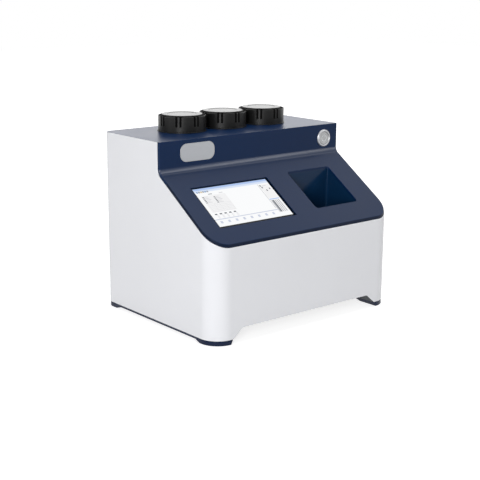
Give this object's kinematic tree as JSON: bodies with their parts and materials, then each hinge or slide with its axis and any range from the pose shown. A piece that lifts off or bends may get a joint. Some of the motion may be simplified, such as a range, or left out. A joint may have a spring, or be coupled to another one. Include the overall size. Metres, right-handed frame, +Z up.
{
  "type": "benchtop gas density meter",
  "caption": "Benchtop gas density meter: white body, navy slanted panel with screen and tray, screw-capped sample chambers in its top, sprung power button and rear gas and mains fittings.",
  "frame": {"origin": "on the table, under the middle of the bounding box, which the rear gas fittings lengthen behind", "axes": "+X to the right seen from the front, -Y towards the user, +Z up"},
  "size_m": [0.37, 0.299, 0.3131],
  "materials": {
    "white_paint": "fine satin powder coat",
    "navy_paint": "satin",
    "navy_plastic": "fine texture",
    "rubber_black": "matt",
    "sheet_steel": "galvanised",
    "stainless": "turned and brushed",
    "aluminium_plain": "machined",
    "badge_silver": "fine brushed",
    "cap_black": "satin",
    "disc_black": "satin gloss",
    "acetal_white": "satin",
    "touch_glass": "polished",
    "module_grey": "plain",
    "frame_black": "plain",
    "inlet_black": "moulded",
    "nickel": "nickel plated",
    "board_green": "solder mask",
    "brass_plain": "plain",
    "valve_black": "moulded"
  },
  "bodies": {
    "instrument": {"outer_shell": "white_paint", "top_cover": "navy_paint", "base_pan": "white_paint", "rear_panel": "white_paint", "left_foot_rail": "navy_plastic", "right_foot_rail": "navy_plastic", "foot_pads": "rubber_black", "panel_screws": "stainless", "well_tray": "navy_paint", "badge_plate": "badge_silver", "touch_glass": "touch_glass", "display_module": "module_grey", "display_frame": "frame_black", "button_bezel": "stainless", "button_nut": "stainless", "button_switch": "frame_black", "chamber_block": "aluminium_plain", "block_frame": "sheet_steel", "gas_manifold": "aluminium_plain", "solenoid_valves": "valve_black", "reference_chamber": "stainless", "pressure_sensor": "stainless", "chamber_tubes": "stainless", "gas_tubes": "stainless", "gas_inlet_fitting": "nickel", "gas_vent_fitting": "nickel", "power_supply": "sheet_steel", "controller_board": "board_green", "board_standoffs": "brass_plain", "mains_inlet": "inlet_black", "left_neck_ring": "stainless", "left_chamber": "stainless", "left_sample_cup": "aluminium_plain", "middle_neck_ring": "stainless", "middle_chamber": "stainless", "middle_sample_cup": "aluminium_plain", "right_neck_ring": "stainless", "right_chamber": "stainless", "right_sample_cup": "aluminium_plain"},
    "left_plug": {"left_seal_plug": "stainless", "left_seal_ring": "rubber_black", "left_cap_screw": "stainless"},
    "left_carrier": {"left_thrust_washer": "acetal_white"},
    "left_screw_cap": {"left_cap": "cap_black", "left_cap_disc": "disc_black"},
    "middle_plug": {"middle_seal_plug": "stainless", "middle_seal_ring": "rubber_black", "middle_cap_screw": "stainless"},
    "middle_carrier": {"middle_thrust_washer": "acetal_white"},
    "middle_screw_cap": {"middle_cap": "cap_black", "middle_cap_disc": "disc_black"},
    "right_plug": {"right_seal_plug": "stainless", "right_seal_ring": "rubber_black", "right_cap_screw": "stainless"},
    "right_carrier": {"right_thrust_washer": "acetal_white"},
    "right_screw_cap": {"right_cap": "cap_black", "right_cap_disc": "disc_black"},
    "power_button": {"button_plunger": "stainless"},
    "mains_switch": {"mains_rocker": "inlet_black"}
  },
  "joints": [
    {"name": "left_cap_lift", "type": "slide", "parent": "instrument", "child": "left_plug", "axis": [0, 0, 1], "range_m": [0, 0.07]},
    {"name": "left_cap_rise", "type": "slide", "parent": "left_plug", "child": "left_carrier", "axis": [0, 0, 1], "range_m": [0, 0.0024]},
    {"name": "left_cap_turn", "type": "hinge", "parent": "left_carrier", "child": "left_screw_cap", "pos_m": [-0.0788, 0.0678, 0.29], "axis": [0, 0, 1], "range_deg": [0, 120]},
    {"name": "middle_cap_lift", "type": "slide", "parent": "instrument", "child": "middle_plug", "axis": [0, 0, 1], "range_m": [0, 0.07]},
    {"name": "middle_cap_rise", "type": "slide", "parent": "middle_plug", "child": "middle_carrier", "axis": [0, 0, 1], "range_m": [0, 0.0024]},
    {"name": "middle_cap_turn", "type": "hinge", "parent": "middle_carrier", "child": "middle_screw_cap", "pos_m": [0.0042, 0.0678, 0.29], "axis": [0, 0, 1], "range_deg": [0, 120]},
    {"name": "right_cap_lift", "type": "slide", "parent": "instrument", "child": "right_plug", "axis": [0, 0, 1], "range_m": [0, 0.07]},
    {"name": "right_cap_rise", "type": "slide", "parent": "right_plug", "child": "right_carrier", "axis": [0, 0, 1], "range_m": [0, 0.0024]},
    {"name": "right_cap_turn", "type": "hinge", "parent": "right_carrier", "child": "right_screw_cap", "pos_m": [0.0872, 0.0678, 0.29], "axis": [0, 0, 1], "range_deg": [0, 120]},
    {"name": "power_button_press", "type": "slide", "parent": "instrument", "child": "power_button", "axis": [0, 1, 0], "range_m": [0, 0.0025], "stiffness_N_per_m": 500, "springref_m": -0.002},
    {"name": "mains_switch_rock", "type": "hinge", "parent": "instrument", "child": "mains_switch", "pos_m": [0.12, 0.1343, 0.076], "axis": [1, 0, 0], "range_deg": [-20, 0]}
  ],
  "couplings": [
    {"joint": "left_cap_rise", "follows": "left_cap_turn", "m_per_rad": 0.001145},
    {"joint": "middle_cap_rise", "follows": "middle_cap_turn", "m_per_rad": 0.001145},
    {"joint": "right_cap_rise", "follows": "right_cap_turn", "m_per_rad": 0.001145}
  ]
}
